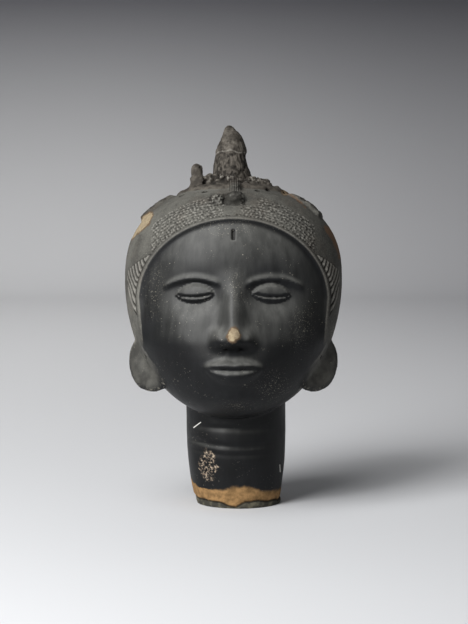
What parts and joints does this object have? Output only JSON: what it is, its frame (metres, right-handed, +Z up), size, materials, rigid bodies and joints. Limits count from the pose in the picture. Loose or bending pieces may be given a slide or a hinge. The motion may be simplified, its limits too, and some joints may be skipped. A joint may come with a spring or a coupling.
{
  "type": "blackened terracotta memorial head",
  "caption": "Hollow-built clay head on a ringed neck with a flat foot, calm closed face, stippled hair, broken crown peak and flat ears; stands by its own weight.",
  "frame": {"origin": "centre of the flat foot, on the plane that it stands on", "axes": "+Z up the neck to the crown peak, the face looks towards -Y, +X is the viewer's right when facing it"},
  "size_m": [0.184, 0.1992, 0.3204],
  "materials": {
    "blackened_terracotta": "smoke-blackened burnished slip over buff fired clay, soft satin on the face, matte olive-grey on the hair; bare buff clay at the foot and where the surface is chipped"
  },
  "bodies": {
    "root": {"memorial_head": "blackened_terracotta"}
  },
  "joints": []
}
